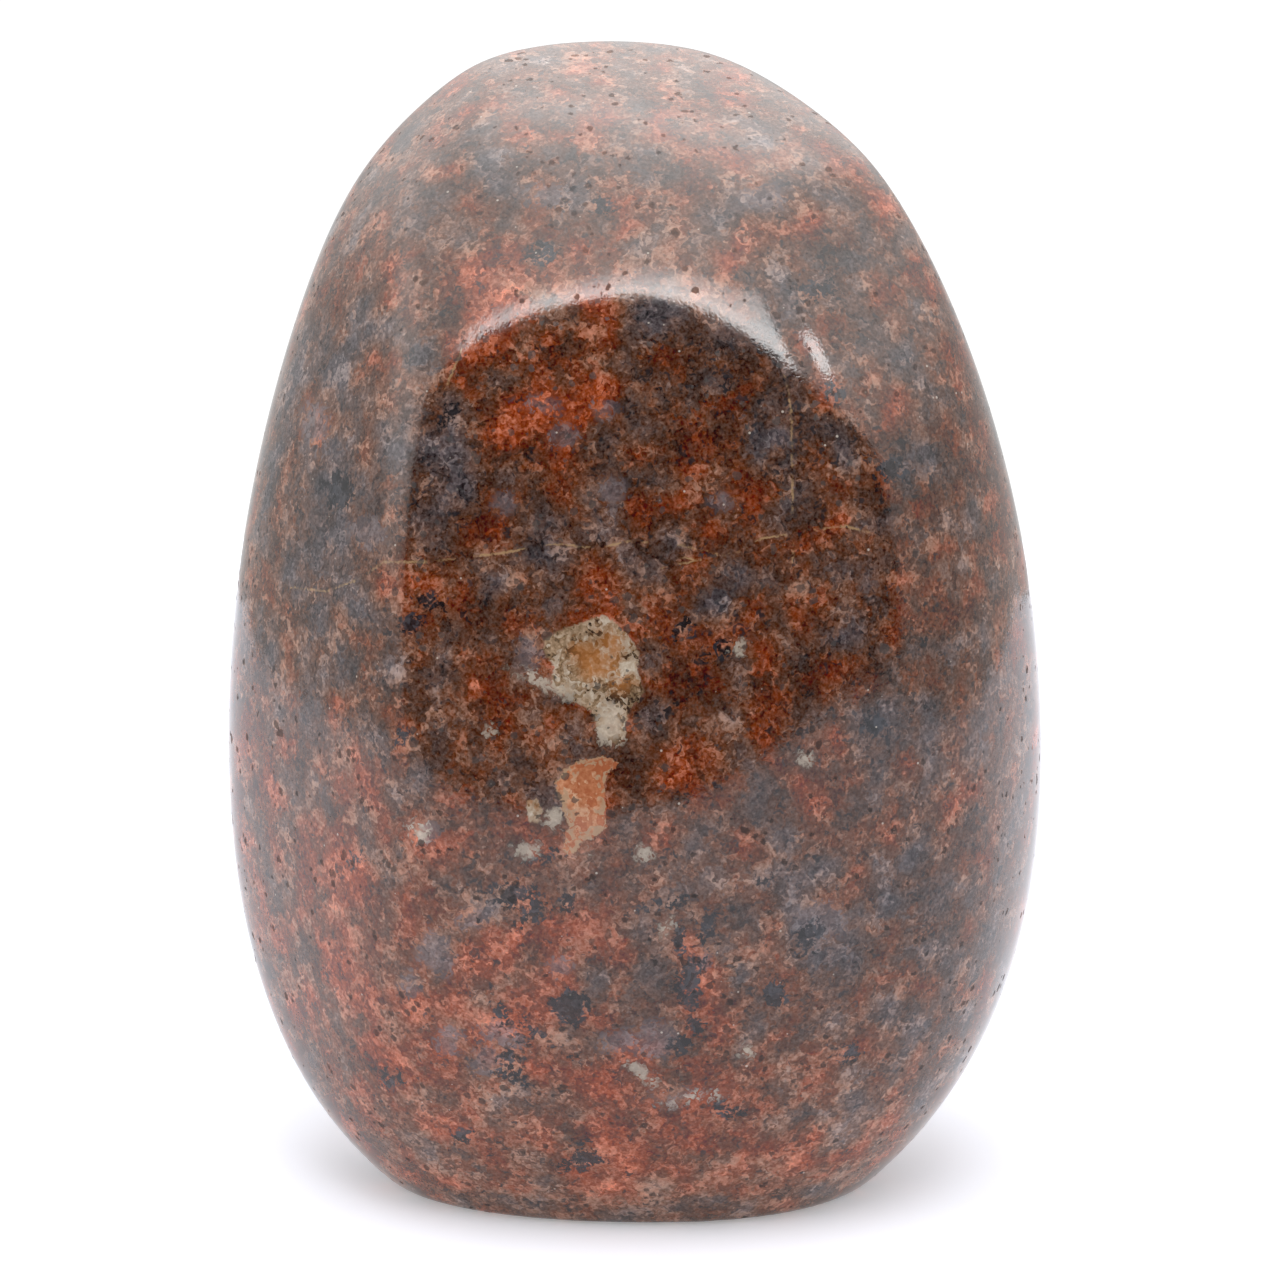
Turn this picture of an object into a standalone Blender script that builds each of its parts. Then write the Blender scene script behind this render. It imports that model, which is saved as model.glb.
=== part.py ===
# A polished dolomite free form: an upright egg of stone, ground into soft flats, with a flat cut base

import functools
import math

import bmesh
import bpy
from mathutils import Vector

MILLIMETRE = 0.001

# The egg the stone is ground from, measured from its widest level, in millimetres
HALF_WIDTH = 45.2
HALF_DEPTH = 36.7
RISE_ABOVE_WIDEST = 74.8
DROP_BELOW_WIDEST = 59.6
FULLNESS = 2.11

# Height of the widest level over the cut base, in millimetres
WIDEST_LEVEL = 49.9

# The ground flats: the way each one faces, in degrees (heading 0 is the front, 90 the right side,
# 180 the back, rise is up from level), how far it lies from the egg's centre, how soft its
# edge is and the radius of its slight crown, all in millimetres
FLATS = (
    {"heading": -6.5, "rise": 8, "distance": 35.4, "softness": 0.6, "crown": 160},
    {"heading": -9, "rise": 26.6, "distance": 45.2, "softness": 0.7, "crown": 150},
    {"heading": 6.3, "rise": 57.0, "distance": 60.3, "softness": 1.2, "crown": 133},
    {"heading": -55, "rise": 2, "distance": 37.5, "softness": 1.2, "crown": 150},
    {"heading": -86.5, "rise": 5, "distance": 43.2, "softness": 1.5, "crown": 160},
    {"heading": 67.5, "rise": 1, "distance": 43.4, "softness": 1.5, "crown": 175},
    {"heading": 116.5, "rise": 10.5, "distance": 41.3, "softness": 2.5, "crown": 160},
    {"heading": 180, "rise": 3, "distance": 35.6, "softness": 4.0, "crown": 220},
    {"heading": -57.2, "rise": 28.6, "distance": 53.2, "softness": 1.2, "crown": 133},
    {"heading": 18.9, "rise": 21.4, "distance": 46.1, "softness": 1.0, "crown": 160},
    {"heading": -8.5, "rise": -10.5, "distance": 41.0, "softness": 3.0, "crown": 110},
    {"heading": 142, "rise": 4, "distance": 39.9, "softness": 4.0, "crown": 180},
    {"heading": -143, "rise": -4, "distance": 39.8, "softness": 4.0, "crown": 260},
    {"heading": 186, "rise": -22, "distance": 44.0, "softness": 5.0, "crown": 250},
)

# The small rounding round the cut base, in millimetres
RIM_ROUNDING = 0.8
RIM_STEPS = 2

# How many strips each side of the starting cube is divided into
STRIPS = 28

# How often the search for the cut's place is halved
HALVINGS = 30

# How far out a point of the starting cube, whose sides lie at 1, counts as lying on a side
ON_A_SIDE = 0.999

# Digits that tell two strips of the starting cube apart
DIGITS = 5

# Edges that turn more than this many degrees stay crisp: the rim of the cut
CRISP_ANGLE = 40


def on_egg(direction):
    """Puts a direction onto the egg."""
    height = RISE_ABOVE_WIDEST if direction.z > 0 else DROP_BELOW_WIDEST
    gauge = (
        abs(direction.x / HALF_WIDTH) ** FULLNESS
        + abs(direction.y / HALF_DEPTH) ** FULLNESS
        + abs(direction.z / height) ** FULLNESS
    )
    return direction * gauge ** (-1 / FULLNESS)


def facing(flat):
    """The direction a flat faces."""
    heading = math.radians(flat["heading"])
    rise = math.radians(flat["rise"])
    level = math.cos(rise)
    return Vector((math.sin(heading) * level, -math.cos(heading) * level, math.sin(rise)))


def ground(point, flat):
    """Presses a point down to a flat where it stands above it, softly near the flat's edge."""
    normal = facing(flat)
    height = point.dot(normal)
    from_middle = (point - height * normal).length
    surface = flat["distance"] - from_middle ** 2 / (2 * flat["crown"])
    above = (height - surface) / flat["softness"]
    left_over = -math.log1p(math.exp(-abs(above))) + min(above, 0)
    return point + (left_over - above) * flat["softness"] * normal


def on_stone(direction):
    """The place on the ground stone that lies in a direction from the egg's centre."""
    point = on_egg(direction)
    for flat in FLATS:
        point = ground(point, flat)
    return (point + Vector((0, 0, WIDEST_LEVEL))) * MILLIMETRE


def dipping(x, y, dip):
    """The direction that points below level by an angle, over a point on the cube's outline."""
    level = Vector((math.tan(x * math.pi / 4), math.tan(y * math.pi / 4), 0)).normalized()
    return level * math.cos(dip) - Vector((0, 0, math.sin(dip)))


@functools.lru_cache(maxsize=None)
def dip_to_cut(x, y):
    """How far below level the cut lies on this side of the stone."""
    shallow = 0
    steep = math.pi / 2
    for _ in range(HALVINGS):
        middle = (shallow + steep) / 2
        if on_stone(dipping(x, y, middle)).z > 0:
            shallow = middle
        else:
            steep = middle
    return (shallow + steep) / 2


def stone_point(corner):
    """The place on the stone that a point of the two-wide cube goes to."""
    if corner.z >= 0:
        spread = Vector([math.tan(value * math.pi / 4) for value in corner])
        return on_stone(spread.normalized())
    x = round(corner.x, DIGITS)
    y = round(corner.y, DIGITS)
    point = on_stone(dipping(x, y, -corner.z * dip_to_cut(x, y)))
    if corner.z < -ON_A_SIDE:
        point.z = 0
    return point


def open_underside(shape):
    """Takes away the underside of the cube, all but its outline."""
    inside = []
    for vert in shape.verts:
        across = max(abs(vert.co.x), abs(vert.co.y))
        if vert.co.z < -ON_A_SIDE and across < ON_A_SIDE:
            inside.append(vert)
    bmesh.ops.delete(shape, geom=inside, context="VERTS")


def close_base(shape):
    """Closes the cut with one flat face and rounds its rim a little."""
    rim = [edge for edge in shape.edges if edge.is_boundary]
    bmesh.ops.edgeloop_fill(shape, edges=rim)
    bmesh.ops.bevel(
        shape,
        geom=rim,
        offset=RIM_ROUNDING * MILLIMETRE,
        offset_type="OFFSET",
        segments=RIM_STEPS,
        profile=0.5,
        affect="EDGES",
    )


def centre_on_base(shape):
    """Moves the stone sideways so the middle of its bounding box stands over the origin."""
    along_x = [vert.co.x for vert in shape.verts]
    along_y = [vert.co.y for vert in shape.verts]
    middle = Vector((min(along_x) + max(along_x), min(along_y) + max(along_y), 0)) / 2
    bmesh.ops.translate(shape, verts=shape.verts[:], vec=-middle)


def dolomite_material():
    """Mottled red-brown polished dolomite, in one average colour."""
    material = bpy.data.materials.new("polished_dolomite")
    material.use_nodes = True
    surface = material.node_tree.nodes["Principled BSDF"]
    surface.inputs["Base Color"].default_value = (0.21, 0.075, 0.045, 1)
    surface.inputs["Roughness"].default_value = 0.15
    surface.inputs["Metallic"].default_value = 0.0
    return material


def build_stone():
    """Makes the stone as one closed body."""
    shape = bmesh.new()
    bmesh.ops.create_cube(shape, size=2)
    bmesh.ops.subdivide_edges(shape, edges=shape.edges[:], cuts=STRIPS - 1, use_grid_fill=True)
    open_underside(shape)
    for vert in shape.verts:
        vert.co = stone_point(vert.co)
    close_base(shape)
    centre_on_base(shape)
    bmesh.ops.recalc_face_normals(shape, faces=shape.faces[:])

    mesh = bpy.data.meshes.new("dolomite_stone")
    shape.to_mesh(mesh)
    shape.free()
    mesh.shade_smooth()
    mesh.set_sharp_from_angle(angle=math.radians(CRISP_ANGLE))
    mesh.materials.append(dolomite_material())

    stone = bpy.data.objects.new("dolomite_stone", mesh)
    bpy.context.scene.collection.objects.link(stone)


for leftover in list(bpy.data.objects):
    bpy.data.objects.remove(leftover, do_unlink=True)

build_stone()
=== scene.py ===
# A polished dolomite free form standing on a pale floor in soft studio light
import math

import bpy
import numpy as np
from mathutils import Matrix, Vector


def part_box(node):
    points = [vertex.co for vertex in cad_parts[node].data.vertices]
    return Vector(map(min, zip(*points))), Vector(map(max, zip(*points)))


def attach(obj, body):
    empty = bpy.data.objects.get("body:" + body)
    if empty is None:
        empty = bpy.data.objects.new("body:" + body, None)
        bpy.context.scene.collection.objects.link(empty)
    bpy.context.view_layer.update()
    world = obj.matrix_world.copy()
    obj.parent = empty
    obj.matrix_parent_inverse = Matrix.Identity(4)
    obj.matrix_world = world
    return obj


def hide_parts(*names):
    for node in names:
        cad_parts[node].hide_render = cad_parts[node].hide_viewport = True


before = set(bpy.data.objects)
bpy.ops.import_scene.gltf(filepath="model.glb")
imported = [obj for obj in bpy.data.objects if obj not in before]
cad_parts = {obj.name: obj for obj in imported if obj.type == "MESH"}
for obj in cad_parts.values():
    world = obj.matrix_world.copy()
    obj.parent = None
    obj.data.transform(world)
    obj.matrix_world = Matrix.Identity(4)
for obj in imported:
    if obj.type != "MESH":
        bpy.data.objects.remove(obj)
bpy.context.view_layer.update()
mm = 0.001


def toLinear(hexColour):
    # an sRGB hex colour as the linear values a shader takes
    parts = [int(hexColour[place:place + 2], 16) / 255 for place in (1, 3, 5)]
    linear = [part / 12.92 if part <= 0.04045 else ((part + 0.055) / 1.055) ** 2.4 for part in parts]
    return (*linear, 1)


def addNode(tree, kind, links=None, stops=(), **settings):
    # links gives a socket a plain value, another node's socket or a node's first output; stops are a ramp's
    node = tree.nodes.new("ShaderNode" + kind)
    for name, value in settings.items():
        setattr(node, name, value)
    for name, value in (links or {}).items():
        socket = node.inputs[name]
        if isinstance(value, bpy.types.Node):
            value = value.outputs[0]
        if isinstance(value, bpy.types.NodeSocket):
            tree.links.new(value, socket)
        else:
            socket.default_value = value
    for at, tone in stops[2:]:
        node.color_ramp.elements.new(at)
    for number, (at, tone) in enumerate(stops):
        node.color_ramp.elements[number].position = at
        node.color_ramp.elements[number].color = toLinear(tone)
    return node


def emptyMaterial(name):
    material = bpy.data.materials.new(name)
    material.use_nodes = True
    material.node_tree.nodes.clear()
    return material


def deselectAll():
    if bpy.context.object and bpy.context.object.mode != "OBJECT":
        bpy.ops.object.mode_set(mode="OBJECT")
    bpy.ops.object.select_all(action="DESELECT")


def facing(heading, rise):
    # the direction of a heading and a rise in degrees: heading 0 is the front, 90 the right side
    level = math.cos(math.radians(rise))
    across = math.sin(math.radians(heading)) * level
    back = -math.cos(math.radians(heading)) * level
    return np.array((across, back, math.sin(math.radians(rise))))


# The stone's shape: the same egg, flats and cut as the solid, in finer steps. All in millimetres
stone = {
    "halfWidth": 45.2,
    "halfDepth": 36.7,
    "riseAboveWidest": 74.8,
    "dropBelowWidest": 59.6,
    "fullness": 2.11,
    "widestLevel": 49.9,
    "strips": 120,
    "cutRounding": 0.3,
    # how far inside the solid's box the surface stays
    "inset": 0.02,
    # heading, rise, distance from the egg's centre, softness of the edge, radius of the crown
    "flats": (
        (-6.5, 8, 35.4, 0.6, 160),
        (-9, 26.6, 45.2, 0.7, 150),
        (6.3, 57.0, 60.3, 1.2, 133),
        (-55, 2, 37.5, 1.2, 150),
        (-86.5, 5, 43.2, 1.5, 160),
        (67.5, 1, 43.4, 1.5, 175),
        (116.5, 10.5, 41.3, 2.5, 160),
        (180, 3, 35.6, 4.0, 220),
        (-57.2, 28.6, 53.2, 1.2, 133),
        (18.9, 21.4, 46.1, 1.0, 160),
        (-8.5, -10.5, 41.0, 3.0, 110),
        (142, 4, 39.9, 4.0, 180),
        (-143, -4, 39.8, 4.0, 260),
        (186, -22, 44.0, 5.0, 250),
    ),
}


def onStone(directions):
    # the places, in millimetres, that lie in these directions from the egg's centre
    height = np.where(directions[:, 2] > 0, stone["riseAboveWidest"], stone["dropBelowWidest"])
    power = stone["fullness"]
    gauge = np.abs(directions[:, 0] / stone["halfWidth"]) ** power
    gauge += np.abs(directions[:, 1] / stone["halfDepth"]) ** power
    gauge += np.abs(directions[:, 2] / height) ** power
    points = directions * (gauge ** (-1 / power))[:, None]
    for heading, rise, distance, softness, crown in stone["flats"]:
        normal = facing(heading, rise)
        level = points @ normal
        fromMiddle = np.linalg.norm(points - level[:, None] * normal, axis=1)
        above = (level - distance + fromMiddle ** 2 / (2 * crown)) / softness
        leftOver = -np.logaddexp(0, -above)
        points = points + ((leftOver - above) * softness)[:, None] * normal
    points[:, 2] += stone["widestLevel"]
    points[:, 2] = np.logaddexp(0, points[:, 2] / stone["cutRounding"]) * stone["cutRounding"]
    return points


def buildStone():
    deselectAll()
    bpy.ops.mesh.primitive_cube_add(size=2, location=(0, 0, 0))
    piece = bpy.context.object
    piece.name = "polished_stone"
    bpy.ops.object.mode_set(mode="EDIT")
    bpy.ops.mesh.select_all(action="SELECT")
    bpy.ops.mesh.subdivide(number_cuts=stone["strips"] - 1)
    bpy.ops.object.mode_set(mode="OBJECT")
    corners = np.empty(len(piece.data.vertices) * 3)
    piece.data.vertices.foreach_get("co", corners)
    # even angles between the strips, then out onto the stone
    spread = np.tan(corners.reshape(-1, 3) * math.pi / 4)
    points = onStone(spread / np.linalg.norm(spread, axis=1)[:, None]) * mm
    # fitted into the solid's own box, standing on its base
    low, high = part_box("dolomite_stone")
    low = np.array(low) + stone["inset"] * mm
    high = np.array(high) - stone["inset"] * mm
    low[2] = 0
    size = points.max(0) - points.min(0)
    points = (points - points.min(0)) * ((high - low) / size) + low
    piece.data.vertices.foreach_set("co", points.ravel())
    piece.data.update()
    deselectAll()
    piece.select_set(True)
    bpy.context.view_layer.objects.active = piece
    bpy.ops.object.shade_smooth()
    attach(piece, "root")
    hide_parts("dolomite_stone")
    return piece


piece = buildStone()
print("stone shaped", len(piece.data.polygons), "faces")

# The camera, in millimetres and degrees
view = {
    "aim": (0.75, 1.05, 57.9),
    "distance": 600,
    "elevation": 13,
    "lens": 160.7,
    "sensor": 36,
    "clipStart": 10,
}

# The stone's colouring, with painted light along its base: soft zones and single markings, kept as values on
# the mesh.
# Their places are millimetres across and up, as seen squarely from the front or from the rear
marking = {
    # how far above level each side is seen from, in degrees
    "frontRise": view["elevation"],
    "rearRise": 8,
    # a side fades out where the surface turns away: how fast, and how much is left where it is edge-on
    "fadeOut": 4,
    "edgeOn": 0.2,
    # single markings stop where less than this is left
    "leastSeen": 0.3,
    # stands for no marking near, in millimetres
    "far": 9.0,
}

# soft zones: across, up, radius across, radius up, strength
zones = {
    "rust": (
        (-24, -42, 10, 8, 0.6), (-32, -24, 6, 12, 0.4), (12, -54, 14, 5, 0.6), (-14, 38, 9, 4, 0.6),
        (-15, 30, 6, 5, 1.0), (-8, 25, 7, 6, 0.9), (-4, 21, 5, 4, 0.7), (-12, 20, 6, 7, 0.7),
        (-11, -1, 7, 5, 0.8), (-4, 4, 4, 3, 0.5), (12, 14, 7, 4, 0.6), (4, 13, 7, 3, 0.5),
        (22, 4, 5, 6, 0.3), (-30, -30, 9, 14, 0.55), (0, -46, 14, 8, 0.9), (-14, -38, 9, 8, 0.8),
        (-22, -24, 8, 6, 0.6), (-4, -22, 5, 4, 0.5), (-8, -30, 8, 5, 0.6), (5, -30, 8, 8, 0.5),
        (2, -53, 10, 5, 0.7), (-22, -50, 8, 6, 0.5), (-5, 40, 6, 4, 0.4), (-8, 54, 7, 4, 0.5),
        (6, 44, 8, 5, 0.3), (-25, 40, 6, 6, 0.5), (18, -14, 5, 5, 0.3), (-20, 10, 4, 4, 0.4),
        (-27, 6, 5, 4, 0.3), (13, -6, 7, 6, 0.5), (12, 57, 8, 4, 0.6), (16, -40, 6, 5, 0.4),
    ),
    "dark": (
        (11, 26, 6, 7, 1.0), (4, 29, 6, 4, 0.6), (-21, 16, 4, 6, 0.7), (-32, 12, 6, 8, 0.6),
        (21, -10, 7, 5, 0.7), (28, 17, 6, 5, 0.8), (17, 37, 6, 4, 0.6), (14, 31, 4, 3, 0.5),
        (9, 3, 5, 4, 0.5), (6, -4, 5, 4, 0.3), (-23, 2, 4, 5, 0.5), (-13, 12, 7, 3, 0.6),
        (-12, -26, 3, 2, 0.5), (25, -2, 5, 6, 0.6), (-3, -14, 5, 4, 0.3), (-8, 42, 5, 3, 0.4),
        (-22, 36, 4, 4, 0.4), (18, 8, 4, 5, 0.3), (30, -28, 6, 8, 0.3), (8, 51, 5, 3, 0.3),
        (-15, 49, 6, 4, 0.4), (5, -2, 4, 3, 0.4), (-20, 28, 4, 5, 0.4), (16, 20, 5, 5, 0.5),
    ),
    "grey": (
        (-28, 24, 8, 14, 0.7), (-32, 4, 8, 8, 0.6), (14, -20, 9, 7, 0.6), (22, -32, 10, 12, 0.8),
        (-24, 44, 7, 7, 0.5), (14, 47, 8, 5, 0.6), (26, 30, 6, 8, 0.5), (-8, 13, 6, 4, 0.5),
        (-15, 5, 5, 4, 0.4), (-23, -29, 4, 4, 0.6), (0, -37, 5, 3, 0.7), (26, 10, 6, 8, 0.4),
        (-37, 18, 5, 12, 0.7), (-14, 50, 8, 4, 0.6), (1, 20, 4, 4, 0.4), (6, 34, 8, 3, 0.5),
        (-30, 36, 6, 8, 0.5), (20, -48, 10, 6, 0.5), (33, -10, 7, 12, 0.5), (9, 57, 8, 4, 0.2),
    ),
    # pale zones lighten the stone: lighter patches, and the wide flat band at (0, -58) along the base edge is
    # painted light that lifts the shade where the stone meets the floor
    "pale": (
        (-20, -36, 13, 12, 0.45), (-30, -18, 8, 12, 0.35), (0, -58, 26, 4, 0.7), (-22, -50, 12, 7, 0.25),
        (20, -50, 12, 7, 0.4), (-14, 37, 10, 4, 0.6), (8, 38, 9, 4, 0.4), (0, 59, 22, 4, 0.3),
        (-30, 22, 6, 16, 0.3), (4, 47, 16, 5, 0.2), (-26, 2, 5, 10, 0.2),
    ),
    "rearRust": (
        (-14, 24, 10, 9, 0.9), (12, 4, 12, 8, 0.7), (-6, -20, 12, 10, 0.8), (20, 34, 9, 10, 0.5),
        (-26, -4, 8, 12, 0.5), (4, 48, 10, 7, 0.6), (22, -30, 8, 8, 0.6), (-16, -42, 12, 7, 0.5),
    ),
    "rearDark": (
        (6, 26, 7, 8, 0.8), (-20, 6, 6, 7, 0.7), (18, -12, 8, 6, 0.7), (-4, 38, 6, 4, 0.5),
        (-2, -36, 6, 5, 0.5), (30, 10, 5, 9, 0.5),
    ),
    # the wide flat band at (0, -56) along the rear base edge is painted light, lifting the shade where the
    # stone meets the floor
    "rearPale": (
        (-16, -34, 14, 12, 0.4), (10, 30, 14, 12, 0.3), (0, -56, 26, 6, 0.7), (22, -6, 10, 16, 0.3),
        (-20, 20, 10, 12, 0.2),
    ),
    "rearGrey": (
        (-24, 30, 8, 12, 0.6), (24, 16, 8, 9, 0.6), (-12, -8, 8, 6, 0.5), (10, -44, 12, 7, 0.5),
        (8, 14, 6, 5, 0.4), (28, -24, 6, 10, 0.5),
    ),
}

# the outlines of the inclusions, point by point
inclusions = {
    "pale": (
        (
            (-10.3, 0.2), (-8.6, 1.0), (-6.2, 1.8), (-4.6, 2.5), (-3.7, 2.7), (-2.2, 1.7), (-1.2, 0.4),
            (-0.2, -1.3), (-0.1, -3.6), (0.4, -5.5), (-1.1, -7.1), (-1.3, -9.8), (-2.5, -10.9),
            (-4.5, -9.5), (-5.1, -7.5), (-7.7, -5.9), (-9.5, -4.9), (-9.2, -2.8), (-10.3, -1.0),
        ),
        (
            (-12.0, -17.0), (-10.8, -16.6), (-10.2, -17.8), (-10.6, -19.2), (-11.8, -19.0),
        ),
    ),
    "salmon": (
        (
            (-8.1, -13.5), (-6.5, -12.7), (-4.0, -12.3), (-2.4, -12.9), (-3.4, -13.8), (-3.7, -15.0),
            (-3.5, -17.4), (-3.7, -19.8), (-4.8, -20.6), (-6.0, -21.1), (-7.1, -22.9), (-8.3, -22.1),
            (-7.8, -20.5), (-7.4, -19.5), (-8.6, -16.8), (-9.2, -15.3),
        ),
    ),
}

# single grains: across, up, half length, half width, turn in degrees
grains = {
    "dark": (
        (-9.2, -22.6, 1.5, 0.5, 10), (-13.4, -26.6, 2.3, 1.5, 10), (-11.4, -28.6, 1.4, 0.9, 40),
        (-4.1, 46.0, 1.2, 1.0, 0), (-10.4, 40.4, 1.4, 0.8, 10), (4.2, -31.4, 1.0, 1.5, 0),
        (5.4, -35.6, 2.8, 1.2, 82), (5.9, -40.4, 0.9, 0.8, 0), (4.3, -42.4, 0.9, 0.6, 20),
        (-7.4, -38.6, 2.0, 1.8, 30), (-11.0, -41.2, 2.6, 0.4, -32), (-13.8, -44.2, 1.6, 0.9, 60),
        (-12.9, -46.2, 1.4, 0.6, -50), (-5.4, -54.4, 2.0, 1.0, 10), (-24.0, 1.8, 1.2, 0.9, 0),
        (-22.0, 4.2, 1.0, 0.9, 0), (-14.6, -39.6, 0.5, 1.0, 20), (-7.6, -27.6, 0.7, 1.0, 0),
        (1.9, -28.0, 1.9, 0.5, 12), (14.4, -37.2, 1.0, 1.4, 20), (7.0, -30.2, 0.8, 1.4, 0),
        (4.4, 1.0, 1.3, 1.1, 40), (8.8, -0.8, 1.2, 0.9, 0), (20.4, 26.0, 1.2, 1.0, 0),
        (26.4, 18.0, 1.6, 1.2, 10), (18.2, 36.8, 1.8, 1.0, 0), (-31.5, 15.6, 1.4, 1.8, 20),
        (-19.8, 23.4, 1.0, 1.2, 0), (12.8, -25.2, 0.9, 0.9, 0), (17.6, -31.4, 1.0, 1.6, -20),
        (-24.4, -10.4, 1.2, 0.8, 20), (24.6, -9.0, 1.2, 0.9, 0), (-30.0, -22.8, 1.0, 0.8, 0),
        (-26.0, -46.0, 0.8, 0.6, 0), (21.6, -43.4, 1.2, 0.7, 15), (9.0, -49.4, 1.0, 0.7, 0),
        (-18.4, -52.0, 0.8, 0.6, 0),
    ),
    "mauve": (
        (-11.4, -1.2, 1.3, 2.0, 10), (-21.4, -32.8, 1.7, 2.2, 30), (-24.2, -36.2, 1.1, 1.2, 0),
        (1.6, -42.0, 2.5, 1.8, 10), (-2.6, -42.4, 1.6, 1.0, 20), (-14.6, -41.2, 2.4, 1.5, -30),
        (-20.0, -42.0, 1.1, 1.6, 0), (-16.0, -44.0, 1.5, 1.5, 0), (-8.2, -34.4, 1.2, 1.0, 0),
        (-17.0, -29.0, 1.9, 1.2, 20), (4.4, -47.9, 2.3, 0.6, 6), (19.0, -29.4, 2.6, 2.0, 0),
        (-8.0, 21.6, 1.4, 1.2, 0), (-10.5, 24.8, 1.8, 0.8, 0), (-3.0, 15.6, 1.2, 1.4, 20),
        (-14.2, 14.4, 1.2, 1.0, 0), (-3.8, 24.2, 1.1, 1.0, 0), (-22.4, -20.2, 1.3, 1.3, 0),
        (6.6, -33.8, 2.0, 0.8, 70), (-28.6, 11.2, 1.9, 1.3, -20), (-34.0, 22.4, 1.4, 2.4, 10),
        (14.6, 21.0, 1.3, 1.0, 0), (8.6, 14.6, 1.1, 0.9, 0), (-10.0, 46.6, 2.0, 1.2, 0),
        (13.0, 46.6, 2.2, 1.2, -10),
    ),
    "white": (
        (-10.0, -4.4, 2.2, 0.7, -20), (-3.1, -8.8, 1.6, 1.9, 0), (-8.9, -18.5, 0.7, 0.8, 0),
        (-23.1, -20.2, 1.0, 1.1, 0), (-11.6, -22.2, 0.7, 0.4, 0), (0.4, -22.4, 0.5, 0.4, 0),
        (-5.6, -22.0, 0.3, 0.4, 0), (5.2, -48.0, 1.6, 0.35, 8), (0.2, -45.4, 1.0, 0.3, -40),
        (11.4, -43.0, 0.5, 0.7, 0), (2.8, -30.6, 0.9, 0.5, 60), (17.4, -12.4, 0.4, 0.3, 0),
        (10.6, -0.8, 0.7, 0.6, 0), (-15.9, -9.6, 0.4, 0.4, 0),
    ),
    "ochre": (
        (-4.4, -2.4, 2.4, 2.0, 0), (-3.0, -0.6, 1.4, 1.8, 0), (-2.6, -9.0, 0.6, 0.9, 0),
        (-6.4, -1.4, 1.2, 1.0, 0), (-2.2, -4.4, 1.4, 1.0, 0), (-7.4, -30.4, 1.6, 0.9, 0),
        (-9.0, -34.6, 1.8, 1.4, 20), (-14.0, -29.4, 2.2, 1.2, 0), (-11.6, -16.6, 0.5, 0.8, 0),
    ),
    "rearDark": (
        (-8, 20, 1.8, 1.2, 30), (14, 8, 1.6, 1.0, -20), (6, -12, 2.4, 1.2, 60), (-18, -16, 1.4, 1.8, 0),
        (20, -26, 1.6, 1.1, 0), (-2, -30, 1.2, 0.9, 10), (-12, 40, 1.4, 1.0, 0), (10, 36, 1.2, 1.6, 0),
        (28, 20, 1.2, 1.8, 0), (-26, 14, 1.5, 1.1, 40), (2, 4, 1.0, 0.8, 0), (-10, -48, 1.8, 1.0, 0),
    ),
    "rearMauve": (
        (-14, 10, 2.4, 1.6, 20), (8, -24, 2.0, 1.5, 0), (18, 22, 2.4, 1.8, -30), (-22, -30, 1.8, 2.2, 0),
        (2, 30, 1.6, 1.2, 0), (-6, -6, 1.8, 1.2, 45), (24, -8, 1.6, 2.0, 0), (10, 50, 2.2, 1.2, 0),
    ),
}

# pale mineral seams: the points that each one runs through
seams = {
    "front": (
        (
            (-36.5, 5.5), (-32.8, 5.1), (-29.5, 6.4), (-26.9, 8.2), (-22.5, 8.2), (-18.6, 8.6),
            (-14.1, 9.2), (-9.2, 10.1), (-4.4, 9.6), (-1.3, 10.4), (4.2, 10.0), (8.6, 8.9), (10.9, 9.5),
            (12.5, 10.6), (15.8, 11.2), (21.5, 12.0), (24.0, 11.3),
        ),
        (
            (2.2, 7.6), (6.3, 8.4), (10.5, 9.2),
        ),
        (
            (15.2, 27.7), (15.5, 26.6), (15.9, 23.9), (16.0, 17.3), (16.1, 8.4),
        ),
        (
            (-18.7, 30.6), (-19.6, 28.4), (-20.3, 26.6),
        ),
    ),
    "rear": (
        (
            (-30, -2), (-22, 0.5), (-14, -0.6), (-5, 2.2), (4, 1.6), (12, 4.4), (22, 4.0), (30, 6.5),
        ),
        (
            (6, 18), (9, 26), (8.4, 33), (11, 41),
        ),
    ),
}

def seenFrom(points, normals, rise, side):
    # millimetres across and up as seen from a side at the camera's distance, and how squarely it is seen
    away = np.array((0, -math.cos(math.radians(rise)) * side, math.sin(math.radians(rise))))
    right = np.array((side, 0, 0))
    depth = view["distance"] - (points - np.array(view["aim"])) @ away
    across = (points - np.array(view["aim"])) @ right / depth * view["distance"]
    up = (points - np.array(view["aim"])) @ np.cross(away, right) / depth * view["distance"]
    seen = np.clip(normals @ away * marking["fadeOut"] + marking["edgeOn"], 0, 1)
    return across, up, seen


def softSpots(across, up, seen, spots):
    total = np.zeros(len(across))
    for middle, height, wide, tall, strength in spots:
        total += strength * np.exp(-((across - middle) / wide) ** 2 - ((up - height) / tall) ** 2)
    return total * seen


def toEllipses(across, up, seen, spots):
    # millimetres outside the nearest ellipse, below zero inside one
    nearest = np.full(len(across), marking["far"])
    for middle, height, long, short, turn in spots:
        angle = math.radians(turn)
        along = (across - middle) * math.cos(angle) + (up - height) * math.sin(angle)
        aside = (up - height) * math.cos(angle) - (across - middle) * math.sin(angle)
        reach = np.hypot(along / long, aside / short)
        nearest = np.minimum(nearest, (reach - 1) * min(long, short))
    return np.where(seen > marking["leastSeen"], nearest, marking["far"])


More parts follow.
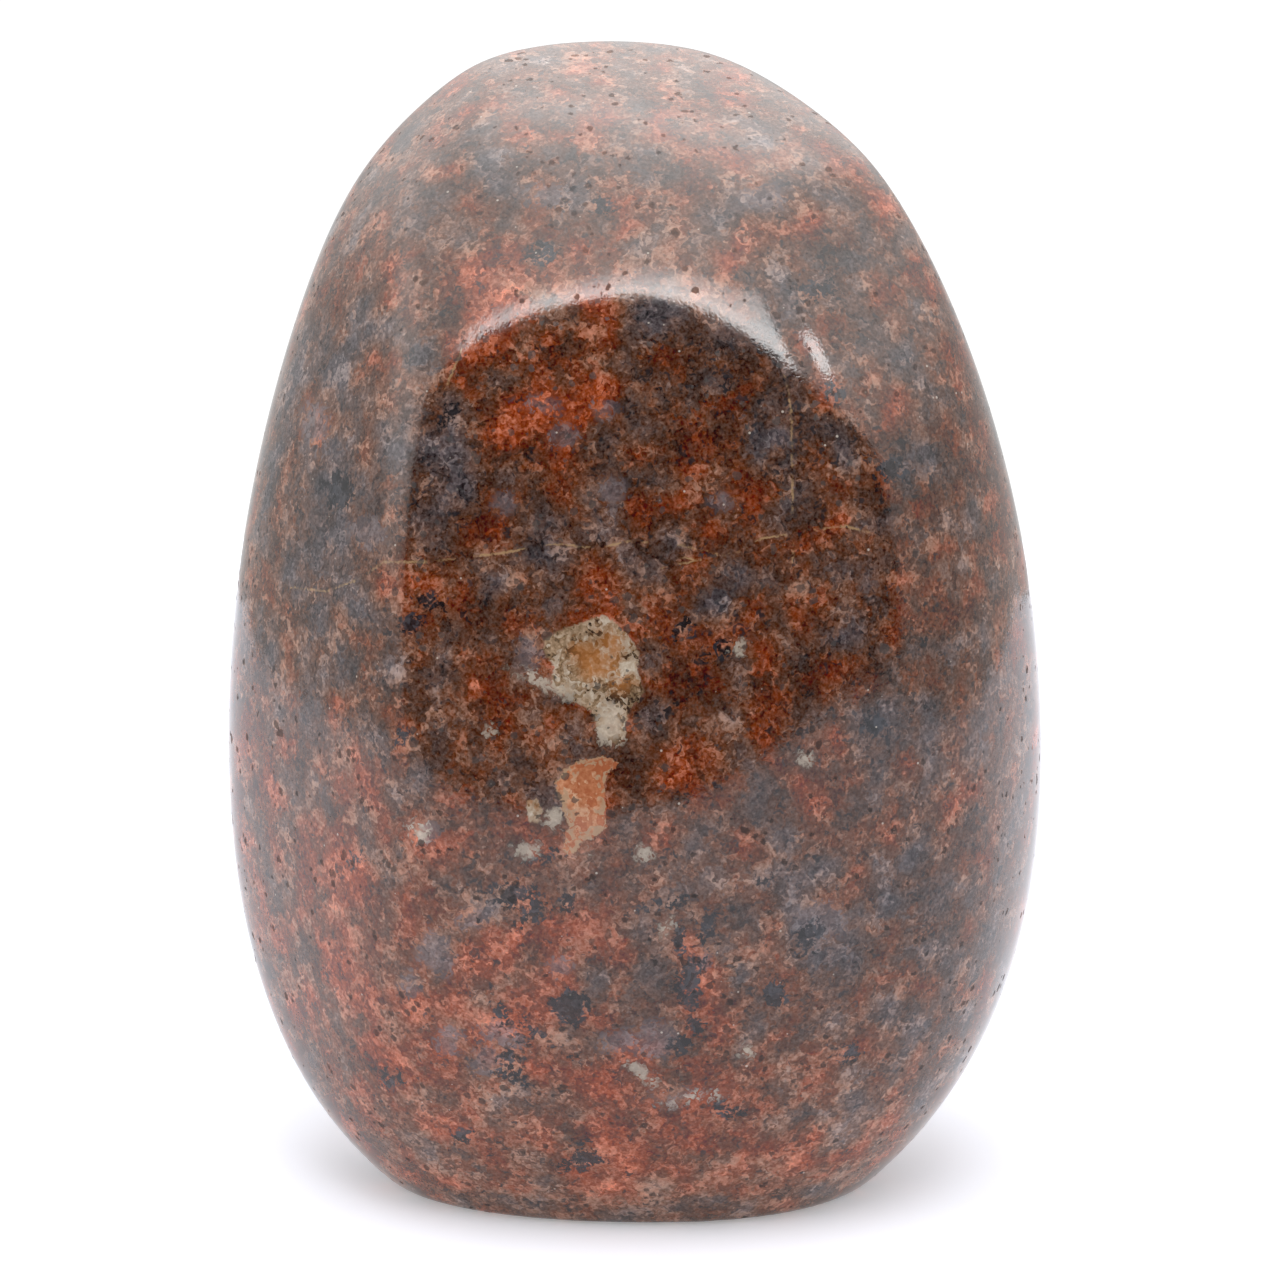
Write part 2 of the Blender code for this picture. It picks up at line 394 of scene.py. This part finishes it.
def toStretch(across, up, start, end):
    # millimetres to a straight stretch from start to end, and above zero on its left
    (x0, y0), (x1, y1) = start, end
    length = (x1 - x0) ** 2 + (y1 - y0) ** 2
    part = np.clip(((across - x0) * (x1 - x0) + (up - y0) * (y1 - y0)) / length, 0, 1)
    gap = np.hypot(across - x0 - part * (x1 - x0), up - y0 - part * (y1 - y0))
    return gap, (x1 - x0) * (up - y0) - (y1 - y0) * (across - x0)


def toOutlines(across, up, seen, outlines):
    # millimetres outside the nearest outline, below zero inside one
    nearest = np.full(len(across), marking["far"])
    inside = np.zeros(len(across), bool)
    for outline in outlines:
        within = np.zeros(len(across), bool)
        for start, end in zip(outline, outline[1:] + outline[:1]):
            nearest = np.minimum(nearest, toStretch(across, up, start, end)[0])
            (x0, y0), (x1, y1) = start, end
            if y0 != y1:
                crossing = (up < y0) != (up < y1)
                within ^= crossing & (across < x0 + (up - y0) / (y1 - y0) * (x1 - x0))
        inside |= within
    distance = np.where(inside, -nearest, nearest)
    return np.where(seen > marking["leastSeen"], distance, marking["far"])


def toSides(across, up, seen, lines):
    # millimetres to the nearest line, above zero on its left and below zero on its right
    nearest = np.full(len(across), marking["far"])
    for line in lines:
        for start, end in zip(line, line[1:]):
            gap, left = toStretch(across, up, start, end)
            nearest = np.where(gap < np.abs(nearest), np.where(left < 0, -gap, gap), nearest)
    return np.where(seen > marking["leastSeen"], nearest, marking["far"])


def markStone():
    mesh = piece.data
    flat = np.empty(len(mesh.vertices) * 3)
    mesh.vertices.foreach_get("co", flat)
    points = flat.reshape(-1, 3) / mm
    mesh.vertices.foreach_get("normal", flat)
    normals = flat.reshape(-1, 3)
    fore = seenFrom(points, normals, marking["frontRise"], 1)
    aft = seenFrom(points, normals, marking["rearRise"], -1)
    values = {}
    for name in ("rust", "dark", "grey", "pale"):
        values[name] = softSpots(*fore, zones[name]) + softSpots(*aft, zones["rear" + name.capitalize()])
    for name in ("pale", "salmon"):
        values[name + "Edge"] = toOutlines(*fore, inclusions[name])
    for name in ("dark", "mauve", "white", "ochre"):
        behind = toEllipses(*aft, grains.get("rear" + name.capitalize(), ()))
        values[name + "Edge"] = np.minimum(toEllipses(*fore, grains[name]), behind)
    distance = toSides(*fore, seams["front"])
    behind = toSides(*aft, seams["rear"])
    values["seamSide"] = np.where(np.abs(behind) < np.abs(distance), behind, distance)
    values["seamEdge"] = np.abs(values["seamSide"])
    for name, numbers in values.items():
        layer = mesh.attributes.new(name, "FLOAT", "POINT")
        numbers = np.clip(numbers, -marking["far"], marking["far"])
        layer.data.foreach_set("value", numbers.astype(np.float32))
    return list(values)


markings = markStone()
print("markings placed", len(markings))

# The stone's material, its pattern in millimetres of the real stone
look = {
    "ior": 1.5,
    "roughness": 0.09,
    # how much rougher an open pit is, and how far the polish follows the grain in millimetres
    "pitRoughness": 0.71,
    "relief": 0.008,
    # the pattern lies turned, so no row of crystals runs level or upright
    "turn": (0.6, 0.4, 0.8),
    "apart": (31.0, 17.0, 53.0),
    # how far the crystals' edges wander and fray, in millimetres
    "wander": 3.6,
    # noises: what they follow, how many to a millimetre, detail, roughness. The drift frays the
    # crystals' edges, the mottle is patches of about 4 mm, the grain 0.4 mm, the tint areas of 5 mm
    "noises": {
        "drift": ("spot", 0.9, 1.5, 0.65),
        "mottle": ("warped", 0.26, 3.0, 0.72),
        "grain": ("spot", 2.4, 1.5, 0.8),
        "tint": ("apart", 0.2, 1.0, 0.5),
    },
    # mosaics: what they follow and how many crystals to a millimetre. Large crystals are about
    # 2 mm across and small ones 0.9 mm. The flecks lie 1 mm apart: real ones are closer and finer,
    # drawn as coarse as they need to show
    "mosaics": {"large": ("warped", 0.5), "small": ("warped", 1.1), "fleck": ("spot", 1.0)},
    # sums of patterns: a start, and how much of each pattern is added
    "sums": {
        "both": (-2.3, {"mottle": 3.0, "grain": 1.6}),
        "angular": (-0.55, {"both": 1.0, "smallGreen": 1.1}),
        "shade": (0.25, {"both": 0.3, "smallRed": 0.5}),
        # the place between grey and rust
        "hue": (-0.49, {
            "tint": 1.3, "largeRed": 0.20, "smallRed": 0.12, "mottle": 0.3,
            "rust": 0.20, "grey": -0.18, "dark": -0.12}),
        # the lightness, in doublings; the pale zones raise it, with painted light along the base edge
        "light": (-4.15, {
            "mottle": 4.6, "grain": 1.6, "largeGreen": 0.7, "smallGreen": 1.4, "dark": -0.5, "pale": 1.0}),
        # the finest grain is a grey dusting
        "dust": (-0.05, {"grain": 0.10}),
        # small dark crystals, denser in the dark zones
        "speckGap": (0.21, {"small": 1.0, "smallBlue": -1.0, "dark": -0.22, "mottle": 0.9}),
        # the single markings: whole small crystals stand in or out, and their edges are ragged
        "mauveGap": (0.0, {"mauveEdge": 1.0, "angular": 1.0}),
        "darkGap": (0.0, {"darkEdge": 1.0, "angular": 1.0}),
        "whiteGap": (0.0, {"whiteEdge": 1.0, "angular": 1.0}),
        "ochreGap": (0.0, {"ochreEdge": 1.0, "angular": 1.0}),
        "paleGap": (0.0, {"paleEdge": 1.0, "both": 0.5}),
        "salmonGap": (0.0, {"salmonEdge": 1.0, "both": 0.5}),
        "heartGap": (-0.9, {"salmonGap": 1.0, "smallRed": 2.0}),
        "seamGap": (-0.25, {"seamSide": 1.0, "grain": 0.5}),
        "glintGap": (0.86, {"fleck": 1.0, "fleckRed": -1.0}),
        # pits lie in clusters
        "pitGap": (1.53, {"fleck": 1.0, "fleckGreen": -1.0, "mottle": -2.0, "grain": 0.3}),
    },
    # how much of each colour shows: the sum it follows, full at this value, none at this value, how much
    "fades": {
        "bright": ("light", 1.8, 0.2, 0.3),
        "speck": ("speckGap", -0.10, 0.14, 0.75),
        "mauve": ("mauveGap", -0.3, 0.3, 0.5),
        "dark": ("darkGap", -0.25, 0.2, 0.88),
        "pale": ("paleGap", -0.15, 0.15, 0.93),
        "ochre": ("ochreGap", -1.5, 0.9, 0.8),
        "salmon": ("salmonGap", -0.1, 0.12, 0.95),
        "heart": ("heartGap", -0.6, 0.1, 1.0),
        "white": ("whiteGap", -0.6, 0.3, 0.7),
        "seamLine": ("seamGap", 0.05, 0.17, 0.75),
        "seamReach": ("seamEdge", 0.35, 0.6, 1.0),
        "seamBreak": ("mottle", 0.62, 0.42, 1.0),
        "glint": ("glintGap", -0.04, 0.04, 0.6),
        "pit": ("pitGap", -0.04, 0.04, 0.7),
    },
    # colours that change along a sum; the ground runs from grey through brown to rust
    "ramps": {
        "ground": ("hue", (
            (0.04, "#5E5557"), (0.22, "#6B5650"), (0.40, "#6E4C3C"), (0.56, "#77452E"),
            (0.74, "#864023"), (0.96, "#9A4522"))),
        "speck": ("mottle", ((0.30, "#111215"), (0.52, "#24262B"), (0.72, "#3C3E44"))),
        "dark": ("shade", ((0.30, "#111215"), (0.52, "#24262B"), (0.72, "#3C3E44"))),
        "mauve": ("shade", ((0.25, "#544B4E"), (0.50, "#736769"), (0.75, "#958B8C"))),
        "pale": ("shade", ((0.24, "#2E2620"), (0.36, "#7E664C"), (0.54, "#A28A70"), (0.80, "#B5A896"))),
        "heart": ("shade", ((0.26, "#A65F3E"), (0.52, "#B97955"), (0.78, "#CBA080"))),
    },
    # single colours
    "bright": "#B8A190",
    "rim": "#AC8B6E",
    "white": "#C4B6A4",
    "ochre": "#AC6F3C",
    "seam": "#A88A64",
    "glint": "#D8CCBE",
    # painted shade: the near black that stands for the shade inside an open pit
    "pit": "#100C0B",
    # how unevenly light the inclusions are, in doublings
    "uneven": {"pale": 0.5, "salmon": 0.25, "white": 0.6},
    "lightness": 0.70,
    "darkest": (0.004, 0.004, 0.004),
}


def polishedDolomite():
    # red dolomite, ground flat and polished: interlocked crystals seen through a wet-looking gloss
    material = emptyMaterial("polished_red_dolomite")
    tree = material.node_tree
    place = addNode(tree, "TexCoord").outputs["Object"]
    perMillimetre = (1 / mm, 1 / mm, 1 / mm)
    spot = addNode(tree, "Mapping", {"Vector": place, "Rotation": look["turn"], "Scale": perMillimetre})
    apart = addNode(tree, "VectorMath", {0: spot, 1: look["apart"]}, operation="ADD")
    paths = {"spot": spot, "apart": apart}
    patterns = {}
    for name, (path, scale, detail, roughness) in look["noises"].items():
        noise = addNode(tree, "TexNoise", {
            "Vector": paths[path], "Scale": scale, "Detail": detail, "Roughness": roughness})
        patterns[name] = noise
        if name == "drift":
            wander = (look["wander"], look["wander"], look["wander"])
            paths["warped"] = addNode(
                tree, "VectorMath", {0: noise.outputs["Color"], 1: wander, 2: spot}, operation="MULTIPLY_ADD")
    for name, (path, scale) in look["mosaics"].items():
        # how far from each crystal's middle, and three random numbers for each
        cells = addNode(tree, "TexVoronoi", {"Vector": paths[path], "Scale": scale})
        parts = addNode(tree, "SeparateColor", {"Color": cells.outputs["Color"]})
        patterns[name] = cells
        for output in parts.outputs:
            patterns[name + output.name] = output
    for name in markings:
        patterns[name] = addNode(tree, "Attribute", attribute_name=name).outputs["Fac"]

    for name, (start, parts) in look["sums"].items():
        total = start
        for part, amount in parts.items():
            total = addNode(tree, "Math", {0: patterns[part], 1: amount, 2: total}, operation="MULTIPLY_ADD")
        patterns[name] = total
    patterns["seamGap"] = addNode(tree, "Math", {0: patterns["seamGap"]}, operation="ABSOLUTE")
    tones = {}
    for name, (guide, stops) in look["ramps"].items():
        tones[name] = addNode(tree, "ValToRGB", {"Fac": patterns[guide]}, stops)
    shown = {}
    for name, (guide, full, none, most) in look["fades"].items():
        shown[name] = addNode(tree, "MapRange", {
            "Value": patterns[guide], "From Min": full, "From Max": none, "To Min": most, "To Max": 0.0,
        }, interpolation_type="SMOOTHSTEP")
    shown["seam"] = shown["seamLine"]
    for name in ("seamReach", "seamBreak"):
        shown["seam"] = addNode(tree, "Math", {0: shown["seam"], 1: shown[name]}, operation="MULTIPLY")

    # the ground: rust to grey crystals, light and dark
    scale = addNode(tree, "Math", {0: 2.0, 1: patterns["light"]}, operation="POWER")
    scale = addNode(tree, "Math", {0: scale, 1: look["lightness"]}, operation="MULTIPLY")
    colour = addNode(tree, "VectorMath", {0: tones["ground"], "Scale": scale}, operation="SCALE")
    colour = addNode(tree, "Mix", {
        0: shown["bright"], 6: colour, 7: toLinear(look["bright"])}, data_type="RGBA").outputs[2]
    colour = addNode(tree, "VectorMath", {0: colour, 1: patterns["dust"]}, operation="ADD")
    colour = addNode(tree, "VectorMath", {0: colour, 1: look["darkest"]}, operation="MAXIMUM")

    # the bodies of the inclusions
    tones["pale"] = addNode(tree, "Mix", {
        0: shown["ochre"], 6: tones["pale"], 7: toLinear(look["ochre"])}, data_type="RGBA").outputs[2]
    tones["salmon"] = addNode(tree, "Mix", {
        0: shown["heart"], 6: toLinear(look["rim"]), 7: tones["heart"]}, data_type="RGBA").outputs[2]
    tones["white"] = toLinear(look["white"])[:3]
    for name, swing in look["uneven"].items():
        doublings = addNode(tree, "Math", {0: patterns["both"], 1: swing}, operation="MULTIPLY")
        scale = addNode(tree, "Math", {0: 2.0, 1: doublings}, operation="POWER")
        tones[name] = addNode(tree, "VectorMath", {0: tones[name], "Scale": scale}, operation="SCALE")

    # laid over each other, the pits' painted shade last
    for name in ("seam", "glint", "pit"):
        tones[name] = toLinear(look[name])
    for name in ("speck", "mauve", "dark", "pale", "salmon", "white", "seam", "glint", "pit"):
        colour = addNode(tree, "Mix", {
            0: shown[name], 6: colour, 7: tones[name]}, data_type="RGBA").outputs[2]

    gloss = addNode(tree, "Math", {
        0: shown["pit"], 1: look["pitRoughness"], 2: look["roughness"]}, operation="MULTIPLY_ADD")
    relief = addNode(tree, "Math", {0: patterns["grain"], 1: look["relief"]}, operation="MULTIPLY")
    bump = addNode(tree, "Bump", {"Height": relief, "Distance": mm, "Strength": 1.0})
    surface = addNode(tree, "BsdfPrincipled", {
        "Base Color": colour,
        "Roughness": gloss,
        "IOR": look["ior"],
        "Normal": bump,
    })
    addNode(tree, "OutputMaterial", {"Surface": surface})
    return material


piece.data.materials.append(polishedDolomite())
print("stone dressed")


def placeCamera():
    away = Vector(facing(0, view["elevation"]))
    aim = Vector(view["aim"])
    bpy.ops.object.camera_add(location=(aim + away * view["distance"]) * mm)
    camera = bpy.context.object
    camera.rotation_euler = (-away).to_track_quat("-Z", "Y").to_euler()
    camera.data.sensor_width = view["sensor"]
    camera.data.lens = view["lens"]
    camera.data.clip_start = view["clipStart"] * mm
    bpy.context.scene.camera = camera


placeCamera()

# The studio: a white floor in a light tent, brightest overhead and behind the stone. Places in metres
studio = {
    "floorTone": "#E9ECF6",
    "floorRoughness": 0.9,
    "floorGlow": 0.30,
    "floorSize": 0.65,
    # how little of a gloss the floor, the felt and the cloth have
    "sheen": 0.1,
    # the lamps point at this height over the floor
    "lampAim": 0.058,
    "cardTone": "#101010",
    # how far in front of the stone the dark card stands
    "cardAway": 0.33,
    # the card's top on its left and on its right: across and up
    "cardLeft": ((-0.62, 0.12), (-0.56, 0.22), (-0.45, 0.30), (-0.32, 0.345), (-0.25, 0.37)),
    "cardRight": ((0.30, 0.375), (0.42, 0.36), (0.53, 0.31), (0.60, 0.24), (0.65, 0.12)),
    # its arched top between them, which the bright arch stands on
    "arch": (
        (-0.238, 0.370), (-0.215, 0.430), (-0.195, 0.500), (-0.172, 0.560), (-0.141, 0.590), (-0.100, 0.600),
        (-0.056, 0.555), (-0.010, 0.485), (0.037, 0.425), (0.089, 0.390), (0.132, 0.385), (0.160, 0.385),
    ),
    # the bands of the bright arch: from and to, over the card's top, and brightness
    "bands": ((0.0, 0.08, 12.0), (0.08, 0.15, 8.5), (0.15, 0.23, 6.0)),
    # the tent's even brightness, and what the polish mirrors of it: level, rising to the top,
    # full at this height of a unit direction, and how much more there is at the back and on the right
    "even": 1.1,
    "level": 0.8,
    "top": 3.0,
    "fullAt": 0.85,
    "back": 0.6,
    "right": 0.4,
    # brighter patches of the tent: heading, rise, outer and inner radius in degrees, added brightness
    "patches": ((-170, 74, 30, 8, 2.0), (-85, 24, 26, 8, 1.2), (-16, 66, 22, 2, 1.0)),
}

# the lamps: where they hang from the stone, in degrees and metres, their size and their brightness
lamps = {
    # seen only in the polish, as a small spark beside the arch
    "spark": {"heading": 42, "rise": 45, "distance": 1.2, "size": (0.10, 0.12), "brightness": 13.0},
    # a soft fill, out of the polish's sight
    "frontFill": {"heading": 0, "rise": 66, "distance": 1.5, "size": (1.0, 1.0), "brightness": 4.2},
}


def plainMaterial(name, tone, roughness, glow):
    material = emptyMaterial(name)
    surface = addNode(material.node_tree, "BsdfPrincipled", {
        "Base Color": toLinear(tone),
        "Roughness": roughness,
        "Specular IOR Level": studio["sheen"],
        "Emission Color": (1, 1, 1, 1),
        "Emission Strength": glow,
    })
    addNode(material.node_tree, "OutputMaterial", {"Surface": surface})
    return material


def layFloor():
    deselectAll()
    bpy.ops.mesh.primitive_plane_add(size=studio["floorSize"], location=(0, 0, 0))
    floor = bpy.context.object
    floor.name = "floor"
    # matte white acrylic lit a little from below: an even pale ground with a soft shadow
    acrylic = plainMaterial(
        "matte_white_acrylic", studio["floorTone"], studio["floorRoughness"], studio["floorGlow"])
    floor.data.materials.append(acrylic)


def hangLamp(name):
    towards = Vector(facing(lamps[name]["heading"], lamps[name]["rise"]))
    middle = Vector((0, 0, studio["lampAim"]))
    bpy.ops.object.light_add(type="AREA", location=middle + towards * lamps[name]["distance"])
    lamp = bpy.context.object
    lamp.name = name
    lamp.rotation_euler = towards.to_track_quat("Z", "Y").to_euler()
    lamp.data.shape = "RECTANGLE"
    lamp.data.size, lamp.data.size_y = lamps[name]["size"]
    lamp.data.energy = lamps[name]["brightness"] * lamp.data.size * lamp.data.size_y * math.pi
    lamp.visible_camera = False
    return lamp


def standSheet(name, low, high, material):
    # an upright sheet in front of the stone between two rows of points; the camera doesn't see it
    deselectAll()
    bpy.ops.mesh.primitive_grid_add(x_subdivisions=len(low) - 1, y_subdivisions=1, size=1)
    sheet = bpy.context.object
    sheet.name = name
    for vertex, (across, up) in zip(sheet.data.vertices, low + high):
        vertex.co = (across, -studio["cardAway"], up)
    sheet.data.update()
    sheet.visible_camera = False
    sheet.visible_shadow = False
    sheet.visible_transmission = False
    sheet.data.materials.append(material)
    return sheet


def standCard():
    # the dark card in front, seen as the dark window in the polish, and the bright arch over it
    top = studio["cardLeft"] + studio["arch"] + studio["cardRight"]
    foot = tuple((across, 0.0) for across, up in top)
    # black felt: takes in nearly all light
    standSheet("dark_card", foot, top, plainMaterial("black_felt", studio["cardTone"], 1.0, 0.0))
    for start, end, brightness in studio["bands"]:
        low = tuple((across, up + start) for across, up in studio["arch"])
        high = tuple((across, up + end) for across, up in studio["arch"])
        # diffuser cloth lit from behind: a soft white band, seen only in the polish
        cloth = plainMaterial("lit_diffuser_cloth", "#FFFFFF", 1.0, brightness)
        cloth.cycles.emission_sampling = "NONE"
        standSheet("bright_arch", low, high, cloth).visible_diffuse = False


def raiseTent():
    # the white tent round the stone: even for the floor and the stone's colours, graded in the polish
    world = bpy.data.worlds.new("studio")
    world.use_nodes = True
    tree = world.node_tree
    tree.nodes.clear()
    way = addNode(tree, "TexCoord").outputs["Generated"]
    parts = addNode(tree, "SeparateXYZ", {"Vector": way}).outputs
    rise = addNode(tree, "MapRange", {
        "Value": parts["Z"], "From Min": 0.0, "From Max": studio["fullAt"]}, interpolation_type="SMOOTHSTEP")
    gain = studio["top"] - studio["level"]
    for axis, amount in (("Y", studio["back"]), ("X", studio["right"])):
        gain = addNode(tree, "Math", {0: parts[axis], 1: amount, 2: gain}, operation="MULTIPLY_ADD")
    glow = addNode(tree, "Math", {0: gain, 1: rise, 2: studio["level"]}, operation="MULTIPLY_ADD")
    for heading, height, outer, inner, added in studio["patches"]:
        near = addNode(tree, "VectorMath", {
            0: way, 1: tuple(facing(heading, height))}, operation="DOT_PRODUCT")
        patch = addNode(tree, "MapRange", {
            "Value": near.outputs["Value"],
            "From Min": math.cos(math.radians(outer)),
            "From Max": math.cos(math.radians(inner)),
            "To Max": added,
        }, interpolation_type="SMOOTHSTEP")
        glow = addNode(tree, "Math", {0: glow, 1: patch}, operation="ADD")
    mirrored = addNode(tree, "LightPath").outputs["Is Glossy Ray"]
    extra = addNode(tree, "Math", {0: glow, 1: studio["even"]}, operation="SUBTRACT")
    strength = addNode(tree, "Math", {0: extra, 1: mirrored, 2: studio["even"]}, operation="MULTIPLY_ADD")
    shine = addNode(tree, "Background", {"Color": (1, 1, 1, 1), "Strength": strength})
    addNode(tree, "OutputWorld", {"Surface": shine})
    bpy.context.scene.world = world


def lightStudio():
    layFloor()
    raiseTent()
    hangLamp("spark").visible_diffuse = False
    hangLamp("frontFill").visible_glossy = False
    standCard()
    bpy.context.scene.view_settings.view_transform = "Standard"


lightStudio()
print("studio lit")
